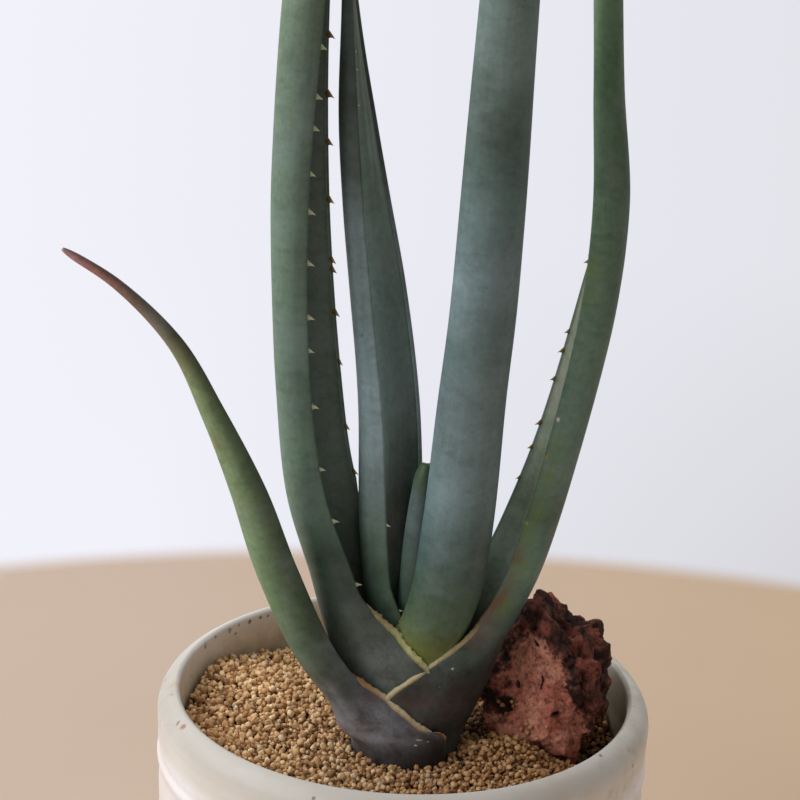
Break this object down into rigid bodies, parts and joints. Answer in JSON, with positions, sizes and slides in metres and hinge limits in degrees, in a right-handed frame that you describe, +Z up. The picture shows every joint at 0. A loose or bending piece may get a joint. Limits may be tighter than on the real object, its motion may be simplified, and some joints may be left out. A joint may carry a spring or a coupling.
{
  "type": "potted aloe plant",
  "caption": "Young tree aloe with long channelled, toothed leaves in a plain round-rimmed stoneware pot of fired-clay grains, with a lava stone set beside it.",
  "frame": {"origin": "middle of the pot's flat foot, on the surface that the pot stands on", "axes": "+Z up along the pot's axis; -Y is the side that the picture was taken from; +X is its right, where the lava stone is"},
  "size_m": [0.1735, 0.15, 0.4725],
  "materials": {
    "glazed_stoneware": "satin",
    "net_plastic": "matte",
    "fired_clay_grains": "matte",
    "lava_rock": "matte",
    "aloe_leaf": "satin",
    "aloe_stem": "matte"
  },
  "bodies": {
    "root": {"pot": "glazed_stoneware", "drain_net": "net_plastic", "leaf_low_left": "aloe_leaf", "leaf_right": "aloe_leaf", "leaf_tall_left": "aloe_leaf", "leaf_front": "aloe_leaf", "leaf_back": "aloe_leaf", "leaf_young": "aloe_leaf", "stem": "aloe_stem", "lava_stone": "lava_rock", "soil": "fired_clay_grains"}
  },
  "joints": []
}
